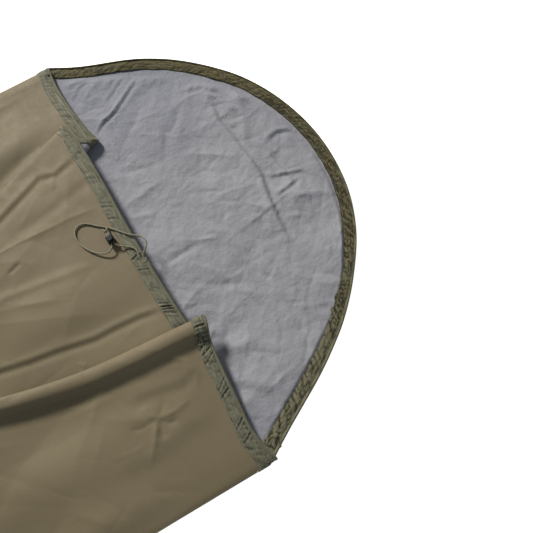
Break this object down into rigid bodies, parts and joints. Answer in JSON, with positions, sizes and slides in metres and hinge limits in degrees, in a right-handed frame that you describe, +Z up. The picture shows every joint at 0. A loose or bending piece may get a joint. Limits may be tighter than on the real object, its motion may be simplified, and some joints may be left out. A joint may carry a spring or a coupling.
{
  "type": "bivy sack",
  "caption": "Flat-laid bivy sack: long fabric bag with grey inner face, rounded hood flap, drawcord hem round the mouth and a sprung cord lock.",
  "frame": {"origin": "middle of the ground outline, on the surface that the sack lies on", "axes": "+Y from the foot to the hood, +X across the width (to the right when the hood points away), +Z up"},
  "size_m": [0.9, 2.2999, 0.0501],
  "materials": {
    "shell": "matt woven nylon, olive khaki",
    "lining": "matt knitted inner face, light grey",
    "mouth_tape": "matt woven tape, grey-green",
    "hood_tape": "matt woven tape, brown-olive",
    "seam_fabric": "matt felled seam",
    "sealing_tape": "satin welded seam tape",
    "thread": "matt sewing thread",
    "cord": "matt braided cord, olive",
    "black_plastic": "satin moulded black plastic",
    "button_plastic": "satin moulded plastic",
    "spring_steel": "bright spring wire"
  },
  "bodies": {
    "sack": {"base_shell": "shell", "base_lining": "lining", "top_shell": "shell", "top_lining": "lining", "opening_hem": "mouth_tape", "hem_end_left": "hood_tape", "hem_end_right": "hood_tape", "side_seam_left": "seam_fabric", "side_seam_right": "seam_fabric", "foot_seam": "seam_fabric", "seam_tape_left": "sealing_tape", "seam_tape_right": "sealing_tape", "seam_tape_foot": "sealing_tape", "corner_tack_left": "thread", "corner_tack_right": "thread", "cord_buttonhole": "thread", "drawcord_opening_left": "cord", "drawcord_opening_right": "cord", "drawcord_long_end": "cord", "drawcord_short_end": "cord", "cord_end_knot": "cord"},
    "hood": {"hood_shell": "shell", "hood_lining": "lining", "hood_hem": "hood_tape", "drawcord_hood": "cord"},
    "cord_lock": {"lock_barrel": "black_plastic", "lock_spring": "spring_steel"},
    "lock_button": {"lock_plunger": "button_plastic"}
  },
  "joints": [
    {"name": "hood_fold", "type": "hinge", "parent": "sack", "child": "hood", "pos_m": [0, 0.785, 0.031], "axis": [1, 0, 0], "range_deg": [0, 180]},
    {"name": "cord_lock_slide", "type": "slide", "parent": "sack", "child": "cord_lock", "axis": [-1, 0, 0], "range_m": [0, 0.005]},
    {"name": "button_press", "type": "slide", "parent": "cord_lock", "child": "lock_button", "axis": [0, 0, -1], "range_m": [0, 0.0025], "stiffness_N_per_m": 600, "springref_m": -0.004, "deforming": ["lock_spring"]}
  ]
}
